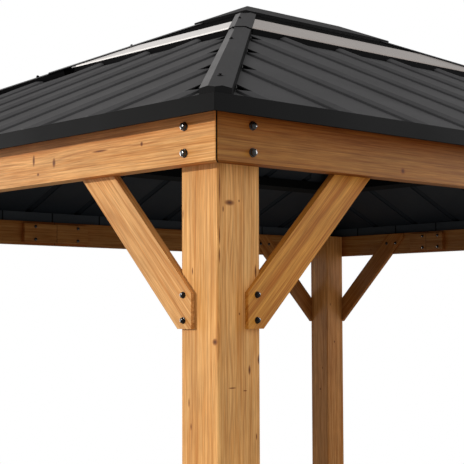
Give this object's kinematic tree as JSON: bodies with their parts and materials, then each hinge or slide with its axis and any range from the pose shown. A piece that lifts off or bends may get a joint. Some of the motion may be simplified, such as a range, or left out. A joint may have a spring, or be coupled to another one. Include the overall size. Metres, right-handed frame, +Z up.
{
  "type": "garden gazebo",
  "caption": "Open garden gazebo: cedar posts, beams and knee braces under a hipped ribbed steel roof with a translucent skylight band and a steel crown cap.",
  "frame": {"origin": "on the ground, midway between the four posts, below the middle of the ridge", "axes": "+X right along the long front side, +Y towards the back, +Z up"},
  "size_m": [4.0306, 3.4566, 3.0008],
  "materials": {
    "cedar_post": "planed western red cedar, clear oil stain",
    "cedar_beam": "planed western red cedar, clear oil stain",
    "cedar_brace": "planed western red cedar, clear oil stain",
    "galvanised_shoe": "welded steel, black powder coat",
    "black_steel": "folded sheet steel, matt black powder coat",
    "black_frame": "steel tube, matt black powder coat",
    "charcoal_sheet": "ribbed sheet steel, charcoal coil coat",
    "charcoal_cap": "folded sheet steel, charcoal coil coat",
    "skylight": "smoky translucent polycarbonate sheet with a black steel foot bar"
  },
  "bodies": {
    "root": {"post_front_left": "cedar_post", "post_front_right": "cedar_post", "post_back_left": "cedar_post", "post_back_right": "cedar_post", "shoe_front_left": "galvanised_shoe", "shoe_front_right": "galvanised_shoe", "shoe_back_left": "galvanised_shoe", "shoe_back_right": "galvanised_shoe", "beam_front": "cedar_beam", "beam_right": "cedar_beam", "beam_back": "cedar_beam", "beam_left": "cedar_beam", "brace_front_at_left": "cedar_brace", "brace_front_at_right": "cedar_brace", "brace_right_at_front": "cedar_brace", "brace_right_at_back": "cedar_brace", "brace_back_at_right": "cedar_brace", "brace_back_at_left": "cedar_brace", "brace_left_at_back": "cedar_brace", "brace_left_at_front": "cedar_brace", "fascia_front": "black_steel", "fascia_right": "black_steel", "fascia_back": "black_steel", "fascia_left": "black_steel", "roof_front": "charcoal_sheet", "roof_right": "charcoal_sheet", "roof_back": "charcoal_sheet", "roof_left": "charcoal_sheet", "purlin_front": "black_frame", "purlin_right": "black_frame", "purlin_back": "black_frame", "purlin_left": "black_frame", "skylight_front": "skylight", "skylight_right": "skylight", "skylight_back": "skylight", "skylight_left": "skylight", "hip_rafter_front_left": "black_frame", "hip_rafter_front_right": "black_frame", "hip_rafter_back_left": "black_frame", "hip_rafter_back_right": "black_frame", "hip_cap_front_left": "charcoal_cap", "hip_cap_front_right": "charcoal_cap", "hip_cap_back_left": "charcoal_cap", "hip_cap_back_right": "charcoal_cap", "ridge_beam": "black_frame", "crown_cap": "charcoal_cap"}
  },
  "joints": []
}
